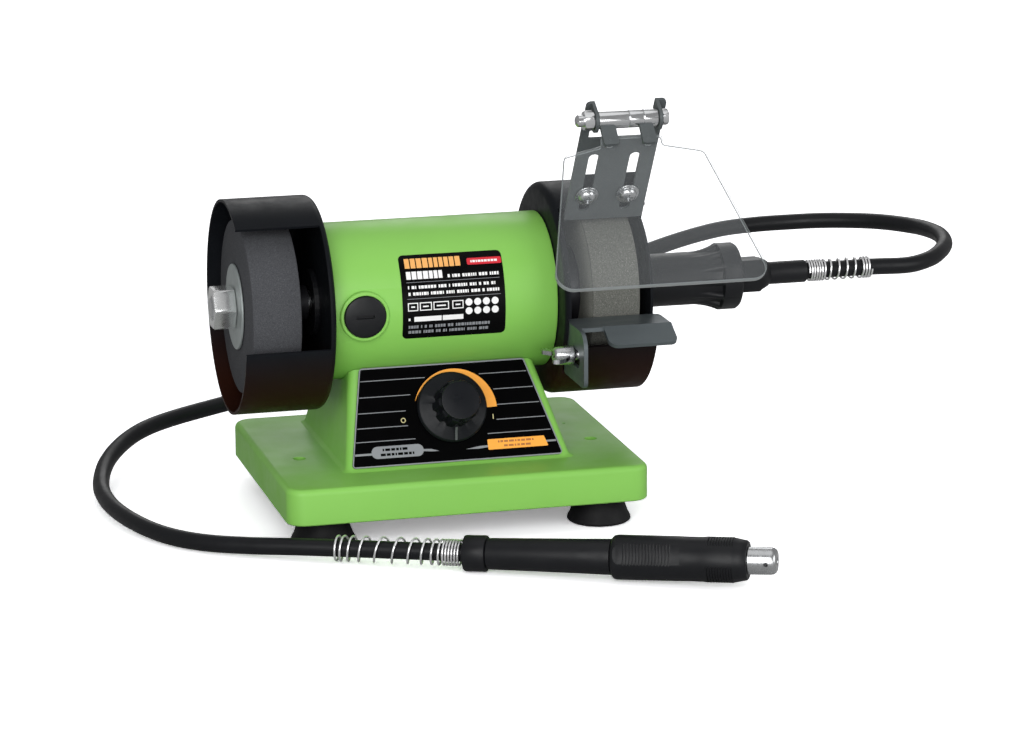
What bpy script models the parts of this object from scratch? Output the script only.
"""Small two-wheel bench grinder with a flexible shaft and handpiece.

Lengths are in millimetres here and become metres in add(). The origin is on the floor under the
middle of the base, X runs along the spindle and Y points to the back.
"""

import math

import bmesh
import bpy
import numpy as np
from mathutils import Matrix, Vector

MM = 0.001
GAP = 0.3
STEPS = 30
ROUND_STEPS = 42
SMALL_STEPS = 14
FLOOR_TO_COVER = 12.0

# Base and pedestal
BASE_HALF_X, BASE_HALF_Y = 79.4, 64.25
BASE_BOTTOM, BASE_TOP = FLOOR_TO_COVER, 27.6
BASE_CORNER, BASE_FILLET = 8.0, 2.5
WALL = 3.0
COVER_TOP = 13.8
FEET = {"front": (61.1, -45.5), "rear": (52.1, 45.5)}
FOOT_RADIUS, FOOT_TOP_RADIUS = 13.95, 10.0
PEDESTAL_TOP, PEDESTAL_CAVITY_TOP = 76.0, 56.0
PEDESTAL_LOW = (-49.3, 50.3, -40.28, 52.0)
PEDESTAL_SLOPE = (0.1374, -0.3086, 0.4389, -0.5856)
PEDESTAL_CORNER = 3.5
BENCH_HOLES = ((66.4, -13.9), (-64.1, -12.2))
BENCH_HOLE_RADIUS = 2.85
GLAND_X, GLAND_Z = 30.0, 19.4

# Control panel
PANEL_AT = (0.0, -41.0, 29.2)
PANEL_TILT = math.radians(-23.7)
PANEL_THICK = 1.0
PANEL_OUTLINE = ((-46.9, 0.0), (46.6, 0.0), (33.4, 43.1), (-39.6, 43.1))
KNOB_X, KNOB_UP = -1.0, 23.5

# Spindle line
AXIS_Z = 94.0
SPINDLE_RADIUS, BORE = 5.0, 5.3
TUBE_RADIUS, TUBE_INNER = 34.0, 31.5
TUBE_LEFT, TUBE_RIGHT = -53.0, 46.3
BRUSH_X = -39.0
WHEEL_RADIUS = 37.5
GUARD_OUTER, GUARD_INNER, GUARD_HOLE = 46.5, 45.3, 14.8
GUARD_CORNER, GUARD_SHEET = 3.5, 1.2

# Eye shield
SHIELD_PLANE = math.radians(33.3)
WINDOW_RIGHT = (-22.7, 59.2)
WINDOW_LEFT = (-13.9, 56.7)
BRACKET_SHEET = 1.5
SCREW_X, SCREW_UP = (59.9, 78.1), 55.7
ROD_FRONT, ROD_UP = 5.5, 104.8
SHIELD_TURN = math.radians(-76.9)
SHIELD_CENTRE = 69.2

# Tool rest
REST_SHEET = 1.8
REST_LEFT, REST_TOP = 48.1, 88.1
REST_SLOPE = math.radians(28.0)
BOLT_Y, BOLT_Z = -52.0, 75.6

# Flexible shaft and handpiece
SHAFT_RADIUS = 3.7
SHAFT_POINTS = 54
ROUTE = (
    (170.3, 0, 94), (187, 0, 94), (202, 0, 94), (218.5, 2.8, 93), (229, 8, 93.1), (238.5, 16.5, 93.7),
    (248.5, 32, 94.7), (253, 49, 95.4), (252, 63.5, 95.5), (248, 76, 95.1), (238.5, 89, 94.8),
    (227.5, 98.5, 94.2), (214, 106, 93.5), (200, 110.5, 92.7), (182.5, 113.5, 91.8), (164, 114.5, 90),
    (141, 114, 85), (116.5, 112.8, 77.6), (80, 112, 65), (42.5, 111.7, 52), (-1.5, 113, 38),
    (-35.5, 113.5, 29.3), (-75, 110, 22.7), (-101.5, 101, 19.7), (-117, 90.5, 17.8), (-128.5, 78, 14.8),
    (-137.5, 61.5, 11.4), (-143, 41, 8), (-143.7, 22.5, 6.2), (-141, 2, 5.4), (-134.5, -18, 4.5),
    (-125.5, -35, 4.0), (-113, -49, 4.1), (-96, -61, 4.8), (-76.5, -72, 5.8), (-49.7, -86, 6.6),
    (-14.1, -105.2, 7.6),
)
HANDPIECE_AT = (-14.08, -105.32, 7.6)
HANDPIECE_TO = (102.15, -166.44, 12.2)

LOOKS = {
    "green": ((0.26, 0.58, 0.10), 0.38, 0.0),
    "black": ((0.02, 0.02, 0.022), 0.42, 0.0),
    "rubber": ((0.015, 0.015, 0.015), 0.8, 0.0),
    "panel": ((0.03, 0.03, 0.035), 0.35, 0.0),
    "steel": ((0.55, 0.56, 0.57), 0.28, 1.0),
    "chrome": ((0.8, 0.8, 0.8), 0.12, 1.0),
    "grey_sheet": ((0.11, 0.13, 0.13), 0.45, 0.3),
    "clear": ((0.9, 0.93, 0.95), 0.05, 0.0),
    "dark_wheel": ((0.085, 0.08, 0.085), 0.9, 0.0),
    "light_wheel": ((0.14, 0.135, 0.115), 0.9, 0.0),
    "aluminium": ((0.6, 0.6, 0.6), 0.4, 1.0),
    "iron": ((0.2, 0.2, 0.21), 0.5, 0.9),
    "copper": ((0.7, 0.32, 0.15), 0.35, 1.0),
    "brass": ((0.7, 0.52, 0.22), 0.3, 1.0),
    "carbon": ((0.03, 0.03, 0.03), 0.7, 0.0),
    "board": ((0.03, 0.2, 0.09), 0.5, 0.0),
}
materials = {}


def material(look):
    if look not in materials:
        colour, roughness, metallic = LOOKS[look]
        made = bpy.data.materials.new(look)
        made.use_nodes = True
        shader = made.node_tree.nodes["Principled BSDF"]
        shader.inputs["Base Color"].default_value = (*colour, 1.0)
        shader.inputs["Roughness"].default_value = roughness
        shader.inputs["Metallic"].default_value = metallic
        if look == "clear":
            shader.inputs["Transmission Weight"].default_value = 1.0
        materials[look] = made
    return materials[look]


def add(name, shape, look="steel", at=(0, 0, 0), turn=(0, 0, 0), parent=None):
    """A mesh object from (points, faces) in millimetres, with its faces turned outwards."""
    points, faces = shape
    mesh = bpy.data.meshes.new(name)
    bm = bmesh.new()
    verts = [bm.verts.new(Vector(p) * MM) for p in points]
    for face in faces:
        bm.faces.new([verts[i] for i in face])
    bmesh.ops.recalc_face_normals(bm, faces=bm.faces)
    bm.to_mesh(mesh)
    bm.free()
    mesh.shade_smooth()
    mesh.set_sharp_from_angle(angle=math.radians(32))
    mesh.materials.append(material(look))
    obj = bpy.data.objects.new(name, mesh)
    return place(obj, at, turn, parent)


def place(obj, at, turn, parent):
    bpy.context.scene.collection.objects.link(obj)
    obj.location = Vector(at) * MM
    obj.rotation_euler = turn
    obj.parent = parent
    return obj


def frame(name, at=(0, 0, 0), turn=(0, 0, 0), parent=None):
    return place(bpy.data.objects.new(name, None), at, turn, parent)


def change(obj, shape, operation):
    """Cuts a shape given in obj's own frame from obj, or joins it on."""
    tool = add(f"{obj.name}_{operation.lower()}_{len(obj.modifiers)}", shape, parent=obj)
    tool.hide_render = True
    tool.display_type = "WIRE"
    modifier = obj.modifiers.new(tool.name, "BOOLEAN")
    modifier.operation = operation
    modifier.solver = "EXACT"
    modifier.object = tool


def cut(obj, *shapes):
    change(obj, merged(*shapes), "DIFFERENCE")


def join(obj, *shapes):
    change(obj, merged(*shapes), "UNION")


def merged(*shapes):
    """Shapes that stay apart from each other, as one."""
    points, faces = [], []
    for more_points, more_faces in shapes:
        faces += [[i + len(points) for i in face] for face in more_faces]
        points += list(more_points)
    return points, faces


def moved(shape, at=(0, 0, 0), turn=None):
    points, faces = shape
    matrix = Matrix.Translation(at) @ (turn or Matrix())
    return [tuple(matrix @ Vector(p)) for p in points], faces


def revolve(outline, steps=STEPS):
    """A closed outline of (x, radius) turned about X. A radius may be a function of the step."""
    points, rings = [], []
    for x, radius in outline:
        ring = []
        for k in range(1 if radius == 0 else steps):
            r = radius(k / steps) if callable(radius) else radius
            angle = 2 * math.pi * k / steps
            ring.append(len(points))
            points.append((x, -r * math.cos(angle), r * math.sin(angle)))
        rings.append(ring)
    faces = []
    for one, two in zip(rings, rings[1:] + rings[:1]):
        for k in range(steps):
            corners = [one[k % len(one)], one[(k + 1) % len(one)], two[(k + 1) % len(two)], two[k % len(two)]]
            face = list(dict.fromkeys(corners))
            if len(face) > 2:
                faces.append(face)
    return points, faces


def hexagon(across):
    """Radius of a hexagon with this distance across its flats."""
    def radius(share):
        return across / 2 / math.cos((share * 2 * math.pi) % (math.pi / 3) - math.pi / 6)
    return radius


def chamfered(across):
    """Radius of a hexagon whose corners are turned down almost to its flats."""
    flat = hexagon(across)
    return lambda share: min(flat(share), across / 2 * 1.03)


def hex_nut(low, high, across, bore, chamfer=0.8):
    side, end = hexagon(across), chamfered(across)
    return revolve([(low, bore), (low, end), (low + chamfer, side), (high - chamfer, side),
                    (high, end), (high, bore)], 24)


def rod(low, high, radius, steps=SMALL_STEPS):
    return revolve([(low, 0), (low, radius), (high, radius), (high, 0)], steps)


def prism(outline, low, high, axis):
    """An outline in the plane across an axis, drawn out along it from low to high."""
    n = len(outline)
    order = {"X": (2, 0, 1), "Y": (0, 2, 1), "Z": (0, 1, 2)}[axis]
    points = [tuple((a, b, t)[i] for i in order) for t in (low, high) for a, b in outline]
    return points, caps_and_sides(n, 2)


def caps_and_sides(n, levels):
    faces = [list(range(n)), list(range(n * (levels - 1), n * levels))]
    for level in range(levels - 1):
        low = n * level
        faces += [[low + i, low + (i + 1) % n, low + n + (i + 1) % n, low + n + i] for i in range(n)]
    return faces


def loft(rings):
    return [p for ring in rings for p in ring], caps_and_sides(len(rings[0]), len(rings))


def rounded(corners, radii, steps=3):
    """The outline with its corners rounded. A radius of 0 leaves the corner sharp."""
    if not isinstance(radii, (tuple, list)):
        radii = [radii] * len(corners)
    outline = []
    for i, (corner, radius) in enumerate(zip(corners, radii)):
        here = Vector(corner)
        if radius == 0:
            outline.append(tuple(here))
            continue
        back = (Vector(corners[i - 1]) - here).normalized()
        on = (Vector(corners[(i + 1) % len(corners)]) - here).normalized()
        half = back.angle(on) / 2
        centre = here + (back + on).normalized() * radius / math.sin(half)
        start = here + back * radius / math.tan(half) - centre
        end = here + on * radius / math.tan(half) - centre
        for k in range(steps + 1):
            spoke = start.slerp(end, k / steps)
            outline.append(tuple(centre + spoke * (radius / spoke.length)))
    return outline


def box_outline(x0, x1, y0, y1):
    return [(x0, y0), (x1, y0), (x1, y1), (x0, y1)]


def sector(inner, outer, start, end, steps=10):
    """A band between two radii and two angles above the horizontal at the front, in degrees."""
    angles = [math.radians(start + (end - start) * k / steps) for k in range(steps + 1)]
    ring = [(outer, a) for a in angles] + [(inner, a) for a in reversed(angles)]
    return [(-r * math.cos(a), r * math.sin(a)) for r, a in ring]


def sweep(centres, radius, sides):
    """A tube along centres, each with its own across and up directions."""
    rings = []
    for centre, across, up in centres:
        rings.append([tuple(centre + radius * (math.cos(a) * across + math.sin(a) * up))
                      for a in (2 * math.pi * k / sides for k in range(sides))])
    return loft(rings)


def smooth_route():
    """The route as a dense curve through its points, with the distance along it."""
    knots = np.array(ROUTE, float)
    ends = np.vstack([2 * knots[0] - knots[1], knots, 2 * knots[-1] - knots[-2]])
    dense = []
    for p0, p1, p2, p3 in zip(ends, ends[1:], ends[2:], ends[3:]):
        for t in np.linspace(0, 1, 12, endpoint=False):
            dense.append(0.5 * (2 * p1 + (p2 - p0) * t + (2 * p0 - 5 * p1 + 4 * p2 - p3) * t**2
                                + (3 * p1 - p0 - 3 * p2 + p3) * t**3))
    dense = np.array(dense + [knots[-1]])
    along = np.concatenate([[0], np.cumsum(np.linalg.norm(np.diff(dense, axis=0), axis=1))])
    return dense, along


def on_route(dense, along, distance):
    return np.array([np.interp(distance, along, dense[:, axis]) for axis in range(3)]).T


def coil(name, start, pitches, radius, wire, look, phase=0.0, parts=10):
    """A spring around the flexible shaft, with one pitch for each turn. Its phase is a share of a turn."""
    dense, along = smooth_route()
    turns = np.linspace(0, len(pitches), len(pitches) * parts + 1)
    distances = start + np.interp(turns, range(len(pitches) + 1), np.concatenate([[0], np.cumsum(pitches)]))
    centres = on_route(dense, along, distances)
    ahead = on_route(dense, along, distances + 1) - on_route(dense, along, distances - 1)
    path = []
    for turn, centre, direction in zip(turns, centres, ahead):
        forward = Vector(direction).normalized()
        side = forward.cross(Vector((0, 0, 1))).normalized()
        angle = (turn + phase) * 2 * math.pi
        out = side * math.cos(angle) + side.cross(forward) * math.sin(angle)
        path.append((Vector(centre) + out * radius, out, forward))
    return add(name, sweep(path, wire, 4), look)


def pedestal_ring(z, inset=0.0):
    """Outline of the pedestal at a height, moved inwards by a distance across its wall."""
    steps = z - BASE_TOP
    sides = []
    for low, slope in zip(PEDESTAL_LOW, PEDESTAL_SLOPE):
        inward = inset * math.hypot(1, slope)
        sides.append(low + slope * steps + (inward if slope > 0 else -inward))
    corners = box_outline(*sides)
    return [(x, y, z) for x, y in rounded(corners, PEDESTAL_CORNER)]


def base_ring(z, inset=0.0, corner=BASE_CORNER):
    half_x, half_y = BASE_HALF_X - inset, BASE_HALF_Y - inset
    outline = rounded(box_outline(-half_x, half_x, -half_y, half_y), corner - inset, 6)
    return [(x, y, z) for x, y in outline]


def upright(shape, x, y):
    """A shape turned about X, stood up along Z at a place."""
    return moved(shape, (x, y, 0), Matrix.Rotation(-math.pi / 2, 4, "Y"))


def across(shape, x, z, side=1):
    """A shape turned about X, laid along Y at a place, to the back or, with side -1, to the front."""
    return moved(shape, (x, 0, z), Matrix.Rotation(side * math.pi / 2, 4, "Z"))


def make_base():
    fillet = [(BASE_TOP - BASE_FILLET * (1 - math.sin(a)), BASE_FILLET * (1 - math.cos(a)))
              for a in (math.pi / 2 * k / 3 for k in range(4))]
    rings = [base_ring(BASE_BOTTOM)] + [base_ring(z, inset) for z, inset in fillet]
    base = add("base_casting", loft(rings), "green")
    join(base, loft([pedestal_ring(BASE_TOP - 1.5), pedestal_ring(PEDESTAL_TOP)]))
    saddle = rod(-60, 60, TUBE_RADIUS + GAP, ROUND_STEPS)
    cut(base, moved(saddle, (0, 0, AXIS_Z)))
    cut(base, loft([base_ring(BASE_BOTTOM - 2, WALL), base_ring(BASE_TOP - WALL, WALL)]))
    cut(base, loft([pedestal_ring(BASE_TOP - 6, WALL), pedestal_ring(PEDESTAL_CAVITY_TOP, WALL)]))
    bosses = [upright(rod(COVER_TOP + GAP, BASE_TOP - 1.5, 5.5), x, y)
              for foot_x, y in FEET.values() for x in (-foot_x, foot_x)]
    join(base, *bosses)
    holes = [upright(rod(BASE_TOP - 6, BASE_TOP + 2, BENCH_HOLE_RADIUS, SMALL_STEPS), x, y)
             for x, y in BENCH_HOLES]
    holes.append(upright(rod(BASE_TOP - 1.5, BASE_TOP + 1, 0.8, 10), 62.2, 15.1))
    holes.append(upright(rod(PEDESTAL_CAVITY_TOP - 3, AXIS_Z - 28, 4.0, 20), -10, 0))
    holes.append(across(rod(BASE_HALF_Y - 6, BASE_HALF_Y + 4, 4.8, 20), GLAND_X, GLAND_Z))
    knob_axis = (Matrix.Translation(PANEL_AT) @ Matrix.Rotation(PANEL_TILT, 4, "X")
                 @ Matrix.Translation((KNOB_X, 0, KNOB_UP)) @ Matrix.Rotation(-math.pi / 2, 4, "Z"))
    holes.append(moved(rod(-8, 2, 4.2, 20), turn=knob_axis))
    cut(base, *holes)


def make_underside():
    rings = [base_ring(BASE_BOTTOM + GAP, WALL + GAP), base_ring(COVER_TOP, WALL + GAP)]
    cover = add("base_bottom_cover", loft(rings), "black")
    posts = [upright(rod(COVER_TOP - 0.5, 18.2, 2.5, 8), x, y) for x in (-29, 29) for y in (-13, 13)]
    join(cover, *posts)
    vents = [prism(rounded(box_outline(x - 1.5, x + 1.5, 22, 42), 1.4), BASE_BOTTOM, COVER_TOP + 1, "Z")
             for x in (-20, -12, -4, 4, 12, 20)]
    through = [upright(rod(BASE_BOTTOM, COVER_TOP + 1, BENCH_HOLE_RADIUS + 0.4, SMALL_STEPS), x, y)
               for x, y in BENCH_HOLES]
    cut(cover, *vents, *through)
    foot = [(0.0, 5.0), (0.0, FOOT_RADIUS - 0.8), (0.8, FOOT_RADIUS), (2.2, FOOT_RADIUS - 0.4),
            (FLOOR_TO_COVER - 1, FOOT_TOP_RADIUS), (FLOOR_TO_COVER, FOOT_TOP_RADIUS - 0.8),
            (FLOOR_TO_COVER, 0), (4.0, 0), (4.0, 5.0)]
    for depth, (foot_x, y) in FEET.items():
        for side, x in (("left", -foot_x), ("right", foot_x)):
            add(f"foot_{depth}_{side}", upright(revolve(foot, 24), 0, 0), "rubber", (x, y, 0))
    board = add("speed_board", prism(rounded(box_outline(-34, 34, -17, 17), 2), 18.5, 20.1, "Z"), "board")
    join(board, prism(box_outline(-28, -18, -13, 11), 20, 33, "Z"), upright(rod(20, 34, 5), -5, 2),
         prism(box_outline(8, 20, -14, -5), 20, 29, "Z"), prism(box_outline(12, 30, 4, 14), 20, 31, "Z"))
    gland = [(58.5, 3.5), (58.5, 4.5), (BASE_HALF_Y + GAP, 4.5), (BASE_HALF_Y + GAP, 5.6),
             (66.5, 5.6), (68.5, 4.9), (68.5, 3.5)]
    add("mains_gland", across(revolve(gland, 24), 0, 0), "black", (GLAND_X, 0, GLAND_Z))


def make_controls():
    panel = add("control_panel", prism(rounded(PANEL_OUTLINE, 1.5), 0, PANEL_THICK, "Y"), "panel",
                PANEL_AT, (PANEL_TILT, 0, 0))
    outwards = Matrix.Rotation(-math.pi / 2, 4, "Z")
    cut(panel, moved(rod(-3, 3, 4.2), (KNOB_X, 0, KNOB_UP), outwards))

    def grip(share):
        return 9.0 + 0.45 * math.cos(10 * 2 * math.pi * share)

    def grip_top(share):
        return grip(share) - 0.6

    knob = [(0.5, 3.3), (0.5, 14.7), (1.0, 15.3), (2.5, 15.3), (3.4, 14.5), (4.8, 10.4), (6.0, grip),
            (18.2, grip), (19.0, grip_top), (19.0, 0), (12.5, 0), (12.5, 3.3)]
    turn = (0, 0, -math.pi / 2)
    made = add("speed_knob", revolve(knob), "black", (KNOB_X, 0, KNOB_UP), turn, panel)
    join(made, prism(box_outline(-0.7, 0.7, -14.2, -8.5), 2.0, 3.9, "X"))
    body = [(-13.0, 0), (-13.0, 6.5), (-4.6, 6.5), (-4.6, 3.9), (-0.6, 3.9), (-0.6, 3.3), (-8.4, 3.3),
            (-8.4, 0)]
    add("potentiometer_body", revolve(body, 28), "aluminium", (KNOB_X, 0, KNOB_UP), turn, panel)
    add("potentiometer_shaft", rod(-8.1, 12.2, 3.0), "brass", (KNOB_X, 0, KNOB_UP), turn, panel)


def make_motor(axis, spin):
    tube = [(TUBE_LEFT, 0), (TUBE_LEFT, TUBE_RADIUS - 0.4), (TUBE_LEFT + 0.4, TUBE_RADIUS),
            (TUBE_RIGHT - 0.4, TUBE_RADIUS), (TUBE_RIGHT, TUBE_RADIUS - 0.4), (TUBE_RIGHT, 0)]
    housing = add("motor_housing", revolve(tube, ROUND_STEPS), "green", parent=axis)
    boss = revolve([(29, 0), (29, 10.8), (34.7, 10.8), (35.2, 10.3), (35.2, 0)], 32)
    join(housing, across(boss, BRUSH_X, 0), across(boss, BRUSH_X, 0, -1))
    cut(housing, rod(TUBE_LEFT - 1, TUBE_RIGHT + 1, TUBE_INNER, ROUND_STEPS))
    seat = revolve([(24, 0), (24, 6.3), (33.2, 6.3), (33.2, 9.3), (37, 9.3), (37, 0)], 32)
    wires = moved(rod(-37, -28, 4.0, 20), (-10, 0, 0), Matrix.Rotation(-math.pi / 2, 4, "Y"))
    cut(housing, across(seat, BRUSH_X, 0), across(seat, BRUSH_X, 0, -1), wires)

    for side, sign, face, hub in (("left", -1, 52.7, 56.5), ("right", 1, 45.9, 52.5)):
        inner = face - 4.7
        seat_end = hub - 2.5
        bell = [(hub, 7.0), (hub, 14.5), (face, 14.5), (face, 31.2), (inner, 31.2), (inner, 11.3),
                (seat_end, 11.3), (seat_end, 7.0)]
        add(f"end_bell_{side}", revolve([(sign * x, r) for x, r in bell]), "aluminium", parent=axis)
        outer = seat_end - GAP
        ring = [(outer, BORE), (outer, 11.0), (outer - 8, 11.0), (outer - 8, 9.6), (outer - 7.5, 9.4),
                (outer - 7.5, 7.0), (outer - 8, 6.8), (outer - 8, BORE)]
        add(f"bearing_{side}", revolve([(sign * x, r) for x, r in ring], 24), "steel", parent=axis)

    core = [(25, 20.5), (25, 22), (31, 22), (31, 28.5), (25, 28.5), (25, 30.8)]
    stator = core + [(-x, r) for x, r in core[::-1]]
    add("stator", revolve(stator), "iron", parent=axis)

    def slotted(share):
        return 17.6 if round(share * STEPS) % 3 == 0 else 19.5

    def bars(share):
        return 9.6 if round(share * STEPS) % 3 == 0 else 10.0

    half = [(31, BORE), (31, 15.0), (24.5, 17.4), (24.5, slotted)]
    add("armature", revolve(half + [(-x, r) for x, r in half[::-1]]), "iron", parent=spin)
    commutator = [(-43.6, BORE), (-43.6, bars), (-34.9, bars), (-34.9, 11.6), (-33.4, 11.6), (-33.4, BORE)]
    add("commutator", revolve(commutator), "copper", parent=spin)
    for where, side in (("front", -1), ("rear", 1)):
        holder = [(12.5, 4.2), (12.5, 6.0), (32.9, 6.0), (32.9, 4.2)]
        add(f"brush_holder_{where}", across(revolve(holder, SMALL_STEPS), 0, 0, side), "brass",
            (BRUSH_X, 0, 0), parent=axis)
        add(f"brush_{where}", across(rod(10.4, 25.5, 3.9), 0, 0, side), "carbon",
            (BRUSH_X, 0, 0), parent=axis)
        cap = [(26.2, 0), (26.2, 3.8), (33.5, 3.8), (33.5, 9.0), (35.5, 9.0), (36.0, 8.5), (36.0, 0)]
        made = add(f"brush_cap_{where}", across(revolve(cap, 24), 0, 0, side), "black",
                   (BRUSH_X, 0, 0), parent=axis)
        low, high = sorted((side * 34.8, side * 37))
        cut(made, prism(box_outline(-4.6, 4.6, -0.85, 0.85), low, high, "Y"))


def make_wheels(spin):
    add("spindle", revolve([(-99.4, 0), (-99.4, 4.2), (-98.6, SPINDLE_RADIUS), (107.2, SPINDLE_RADIUS),
                            (108, 4.2), (108, 0)], 32), "steel", parent=spin)
    for side, look, low, high in (("left", "dark_wheel", -87.86, -66.8),
                                  ("right", "light_wheel", 60.9, 82.1)):
        wheel = [(low, BORE), (low, WHEEL_RADIUS - 0.7), (low + 0.7, WHEEL_RADIUS),
                 (high - 0.7, WHEEL_RADIUS), (high, WHEEL_RADIUS - 0.7), (high, BORE)]
        add(f"wheel_{side}", revolve(wheel, ROUND_STEPS), look, parent=spin)
    flanges = {
        "flange_left_outer": [(-88.2, BORE), (-88.2, 18.6), (-89.2, 18.2), (-89.2, BORE)],
        "flange_left_inner": [(-57.5, BORE), (-57.5, 7.4), (-63.0, 7.4), (-63.4, 18.2), (-66.5, 18.6),
                              (-66.5, BORE)],
        "flange_right_inner": [(53.0, BORE), (53.0, 6.6), (56.0, 6.6), (56.4, 18.1), (60.6, 18.5),
                               (60.6, BORE)],
        "flange_right_outer": [(82.4, BORE), (82.4, 16.0), (83.6, 15.6), (84.4, 11.0), (84.4, BORE)],
    }
    for name, outline in flanges.items():
        add(name, revolve(outline), "steel", parent=spin)
    add("nut_left", hex_nut(-98.9, -89.5, 17.0, BORE), "chrome", parent=spin)
    add("nut_right", hex_nut(84.7, 91.0, 15.0, BORE), "steel", parent=spin)


def guard_outline(face, direction, rim):
    """Section of a guard cup whose plate has its outer face at face and opens in a direction."""
    centre = face + direction * GUARD_CORNER
    knee = GUARD_OUTER - GUARD_CORNER
    outer, inner = [], []
    for k in range(4):
        a = math.pi / 2 * k / 3
        for line, r in ((outer, GUARD_CORNER), (inner, GUARD_CORNER - GUARD_SHEET)):
            line.append((centre - direction * r * math.cos(a), knee + r * math.sin(a)))
    return ([(face, GUARD_HOLE)] + outer + [(rim, GUARD_OUTER), (rim, GUARD_INNER)] + inner[::-1]
            + [(face + direction * GUARD_SHEET, GUARD_HOLE)])


def make_guards(axis):
    left = add("guard_left", revolve(guard_outline(-53.3, -1, -92.4), ROUND_STEPS), "black", parent=axis)
    cut(left, prism(sector(40, 52, *WINDOW_LEFT), -95, -56.1, "X"))
    right = add("guard_right", revolve(guard_outline(46.6, 1, 88.2), ROUND_STEPS), "black", parent=axis)
    window = prism(sector(38.1, 52, *WINDOW_RIGHT, 14), 48.9, 95, "X")
    cut(right, window)
    slit = prism(box_outline(-50, -34, 63.4 - AXIS_Z, 90 - AXIS_Z), 47.85, 50.1, "X")
    cut(right, slit)
    lug = prism(rounded([(-38.6, 68 - AXIS_Z), (-41.5, 76 - AXIS_Z), (-47, 83 - AXIS_Z), (-61, 83 - AXIS_Z),
                         (-61, 68 - AXIS_Z)], [0, 0, 2, 4, 4]), 50.3, 51.8, "X")
    join(right, lug)
    to_plane = Matrix.Rotation(SHIELD_PLANE, 4, "X")
    tab = prism(rounded(box_outline(54, 85, 45.4, 65), [0, 0, 4, 4]), 1.8, 3.0, "Y")
    join(right, moved(tab, turn=to_plane))
    bolt = moved(rod(48.8, 53, 2.8), (0, BOLT_Y, BOLT_Z - AXIS_Z))
    turned = Matrix.Rotation(SHIELD_PLANE, 4, "X") @ Matrix.Translation((0, 0, SCREW_UP)) @ Matrix.Rotation(
        math.pi / 2, 4, "Z")
    screws = [moved(moved(rod(1, 4, 2.3), turn=turned), (x, 0, 0)) for x in SCREW_X]
    cut(right, bolt, *screws)
    disc = [(86.7, 12.1), (86.7, 45.0), (87.9, 45.0), (87.9, 12.1)]
    cover = add("cover_right", revolve(disc, ROUND_STEPS), "black", parent=axis)
    cut(cover, window)


def make_shield(axis):
    plane = frame("shield_plane", turn=(SHIELD_PLANE, 0, 0), parent=axis)
    for side, x in zip(("left", "right"), SCREW_X):
        screw = [(-7.2, 0), (-7.2, 2.0), (GAP, 2.0), (GAP, 5.05), (1.1, 5.05), (1.2, 3.8), (2.7, 3.6),
                 (3.5, 2.4), (3.7, 0)]
        add(f"bracket_screw_{side}", revolve(screw, 24), "chrome", (x, 0, SCREW_UP), (0, 0, -math.pi / 2),
            plane)
    top = ROD_UP + 4.6
    outline = [(52, 40.7), (87, 40.7), (87, top), (81.9, top), (81.9, 88.5), (55.6, 88.5), (55.6, top),
               (52, top)]
    bracket = add("shield_bracket", prism(rounded(outline, [1, 1, 2, 0, 1, 1, 0, 2]), 0, BRACKET_SHEET, "Y"),
                  "grey_sheet", parent=plane)
    front = -ROD_FRONT - 4.6
    ear = rounded([(1.2, top), (1.2, ROD_UP - 6.5), (front, ROD_UP - 4.6), (front, top)], [0, 0, 4, 4])
    join(bracket, prism(ear, 54.1, 55.6, "X"), prism(ear, 81.9, 83.4, "X"))
    slots = [prism(rounded(box_outline(x - 2.25, x + 2.25, 45.7, 79.4), 2.2), -2, 4, "Y") for x in SCREW_X]
    cut(bracket, *slots, moved(rod(50, 90, 2.3), (0, -ROD_FRONT, ROD_UP)))

    rod_at = (0, -ROD_FRONT, ROD_UP)
    head, end = hexagon(6.2), chamfered(6.2)
    add("hinge_rod", revolve([(48.2, 0), (48.2, 2.0), (83.7, 2.0), (83.7, head), (86.0, head), (86.5, end),
                              (86.5, 0)], 24), "chrome", rod_at, parent=bracket)
    side, end = hexagon(7.7), chamfered(7.7)
    acorn = [(47.4, 0), (46.0, 0), (46.3, 1.6), (47.2, 2.6), (49.7, 2.6), (49.7, end), (50.2, side),
             (53.3, side), (53.8, end), (53.8, 2.3), (47.4, 2.3)]
    add("hinge_nut", revolve(acorn, 24), "chrome", rod_at, parent=bracket)

    hinge = frame("shield_hinge", rod_at, (SHIELD_TURN, 0, 0), bracket)
    knuckle = [(55.9, 2.3), (55.9, 3.85), (81.6, 3.85), (81.6, 2.3)]
    holder = add("shield_holder", revolve(knuckle, 32), "steel", parent=hinge)
    tabs = ((56.3, 62.9), (73.3, 79.3))
    join(holder, *[prism(box_outline(x0, x1, -12.8, -2.9), -0.85, 0.85, "Y") for x0, x1 in tabs])
    middles = [((x0 + x1) / 2, -10.2) for x0, x1 in tabs]
    rivet = revolve([(0.3, 0), (0.3, 1.2), (3.75, 1.2), (3.75, 2.1), (4.3, 1.8), (4.5, 0)], 16)
    join(holder, *[across(rivet, x, z) for x, z in middles])
    half = [(13.4, -7.5), (13.4, -11.9), (30.6, -16.0), (47.2, -80.9)]
    sheet = [(SHIELD_CENTRE - x, z) for x, z in half] + [(SHIELD_CENTRE + x, z) for x, z in half[::-1]]
    outline = rounded(sheet, [1.5, 1.5, 3, 7, 7, 3, 1.5, 1.5])
    shield = add("eye_shield", prism(outline, 1.15, 3.45, "Y"), "clear", parent=hinge)
    cut(shield, *[across(rod(0, 5, 1.5, 16), x, z) for x, z in middles])


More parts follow.
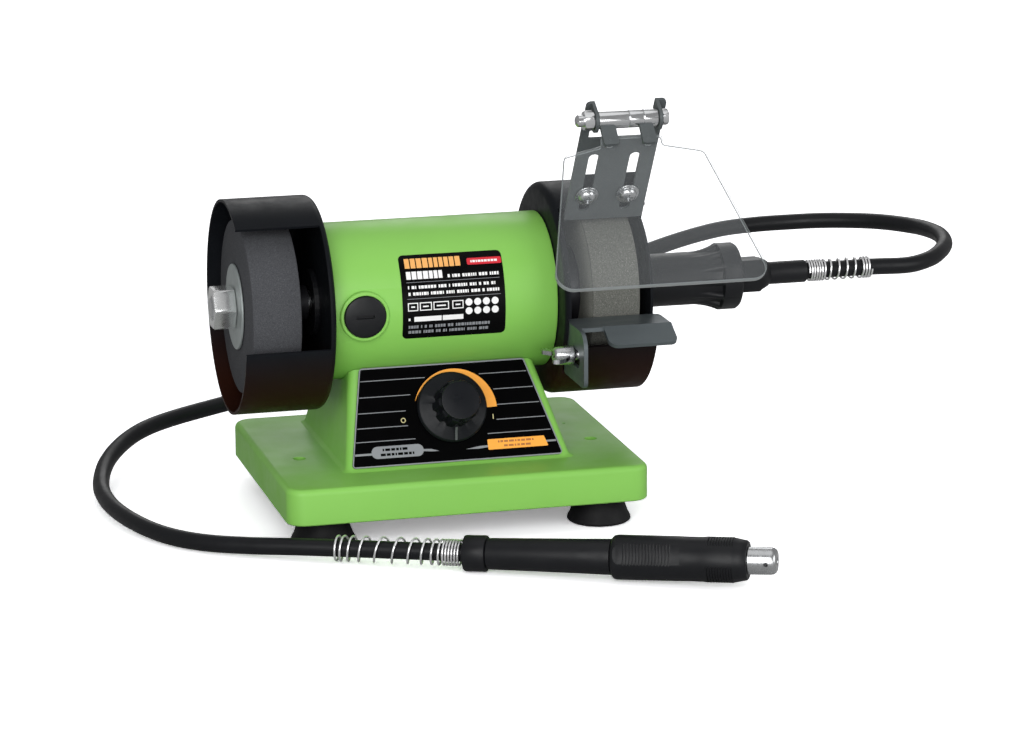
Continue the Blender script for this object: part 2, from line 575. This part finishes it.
def make_rest():
    slides = frame("rest_slide", (0, BOLT_Y, BOLT_Z))
    up, back = REST_TOP - BOLT_Z, -37 - BOLT_Y
    plate = [(back, 64.2 - BOLT_Z), (back, up), (-68.5 - BOLT_Y, up), (-68.5 - BOLT_Y, 64.2 - BOLT_Z)]
    rest = add("tool_rest", prism(rounded(plate, [2, 0, 7, 3]), REST_LEFT, REST_LEFT + REST_SHEET, "X"),
               "steel", parent=slides)
    rear, front, right = -38.2 - BOLT_Y, -57.3 - BOLT_Y, 90.2
    table = rounded(box_outline(REST_LEFT + 0.2, right, front, rear), [0, 0, 3, 0])
    join(rest, prism(table, up - REST_SHEET, up, "Z"))
    slope = Matrix.Translation((0, front, up)) @ Matrix.Rotation(REST_SLOPE, 4, "X")
    flange = prism(rounded(box_outline(60, right, -12, 0.6), [4, 3, 0, 0]), -REST_SHEET, -0.02, "Z")
    join(rest, moved(flange, turn=slope))
    slot = rounded(box_outline(-61.6 - BOLT_Y, -45 - BOLT_Y, 71.2 - BOLT_Z, 78.8 - BOLT_Z), 3.7, 6)
    cut(rest, prism(slot, REST_LEFT - 2, REST_LEFT + 4, "X"))

    bolt_axis = frame("bolt_axis", (0, BOLT_Y, BOLT_Z))
    shank = [(39, 0), (39, 3.0), (39.6, 3.75), (47.8, 3.75), (47.8, 2.5), (53.0, 2.5), (53.6, 1.9), (53.6, 0)]
    bolt = add("wing_bolt", revolve(shank, 24), "chrome", parent=bolt_axis)
    wing = [(46.0, 0), (45.6, 4), (42.5, 9), (38.5, 11.5), (36.2, 10.6), (36.4, 8.0), (39.6, 4.5), (40.2, 0)]
    wings = wing + [(x, -y) for x, y in wing[-2:0:-1]]
    join(bolt, prism(rounded(wings, 0.5, 1), -0.9, 0.9, "Z"))


def make_drive(axis):
    def fluted(radius):
        return lambda share: radius + (0.0 if round(share * STEPS) % 2 else 0.5)

    coupler = [(86.2, 9.3), (86.2, 11.7), (109, 11.7), (110, fluted(11.6)), (119, fluted(11.6)),
               (122.8, fluted(12.1)), (126.2, fluted(13.2)), (128.2, 14.8), (136.4, 14.8), (137.2, 14.0),
               (137.2, BORE), (91.5, BORE), (91.5, 9.3)]
    add("coupler_body", revolve(coupler), "black", parent=axis)
    side, end = hexagon(14.4), chamfered(14.4)
    ferrule = [(137.5, 2.2), (137.5, end), (138.4, side), (147.9, side), (148.7, end), (151.9, 5.6),
               (152.3, 5.0), (169.8, 5.0), (169.8, 2.2)]
    add("coupler_ferrule", revolve(ferrule), "black", parent=axis)

    dense, along = smooth_route()
    length = along[-1]
    centres = on_route(dense, along, np.linspace(0, length, SHAFT_POINTS))
    curve = bpy.data.curves.new("flexible_shaft", "CURVE")
    curve.dimensions = "3D"
    curve.bevel_depth = SHAFT_RADIUS * MM
    curve.bevel_resolution = 2
    curve.use_fill_caps = True
    curve.materials.append(material("rubber"))
    spline = curve.splines.new("POLY")
    spline.points.add(SHAFT_POINTS - 1)
    for point, centre in zip(spline.points, centres):
        point.co = (*(centre * MM), 1.0)
    place(bpy.data.objects.new("flexible_shaft", curve), (0, 0, 0), (0, 0, 0), None)

    coil("spring_machine_end", 0.6, [1.2] * 6 + [2.6] + [3.9] * 4 + [1.25] * 3, 4.5, 0.5, "steel")
    pitches = [1.4] + [3.0, 3.9, 6.0, 8.0, 7.1, 6.3, 4.9, 3.5, 2.4] + [1.3] * 6
    coil("spring_handpiece_end", length - 0.9 - sum(pitches), pitches, 5.2, 0.55, "chrome", 0.5)


def make_handpiece():
    start, end = Vector(HANDPIECE_AT), Vector(HANDPIECE_TO)
    turn = Vector((1, 0, 0)).rotation_difference(end - start).to_euler()
    hand = frame("handpiece_axis", start, turn)
    collar = [(0.4, 2.2), (0.4, 7.2), (0.8, 7.6), (9.6, 7.6), (10.0, 7.2), (10.0, 2.2)]
    add("handpiece_collar", revolve(collar, 24), "black", parent=hand)
    sleeve = [(10.3, 2.2), (10.3, 6.6), (50.0, 7.2), (62.7, 7.5), (62.7, 2.2)]
    add("handpiece_sleeve", revolve(sleeve, 24), "black", parent=hand)
    body = [(63.0, 2.2), (63.0, 8.0), (63.6, 8.9), (65.0, 9.3), (90.0, 9.25), (95.0, 9.1), (101.0, 9.15),
            (102.4, 9.4), (113.6, 9.4), (116.5, 8.7), (119.5, 7.7), (119.5, 2.2)]
    add("handpiece_body", revolve(body, 24), "black", parent=hand)
    nose = [(119.8, 0), (119.8, 5.75), (129.4, 5.65), (130.7, 5.1), (131.4, 4.1), (131.4, 1.6), (122.0, 1.6),
            (122.0, 0)]
    add("handpiece_nose", revolve(nose, 24), "steel", parent=hand)


def main():
    for obj in list(bpy.data.objects):
        bpy.data.objects.remove(obj, do_unlink=True)
    axis = frame("motor_axis", (0, 0, AXIS_Z))
    spin = frame("spindle_axis", (0, 0, AXIS_Z))
    make_base()
    make_underside()
    make_controls()
    make_motor(axis, spin)
    make_wheels(spin)
    make_guards(axis)
    make_shield(axis)
    make_rest()
    make_drive(axis)
    make_handpiece()


main()
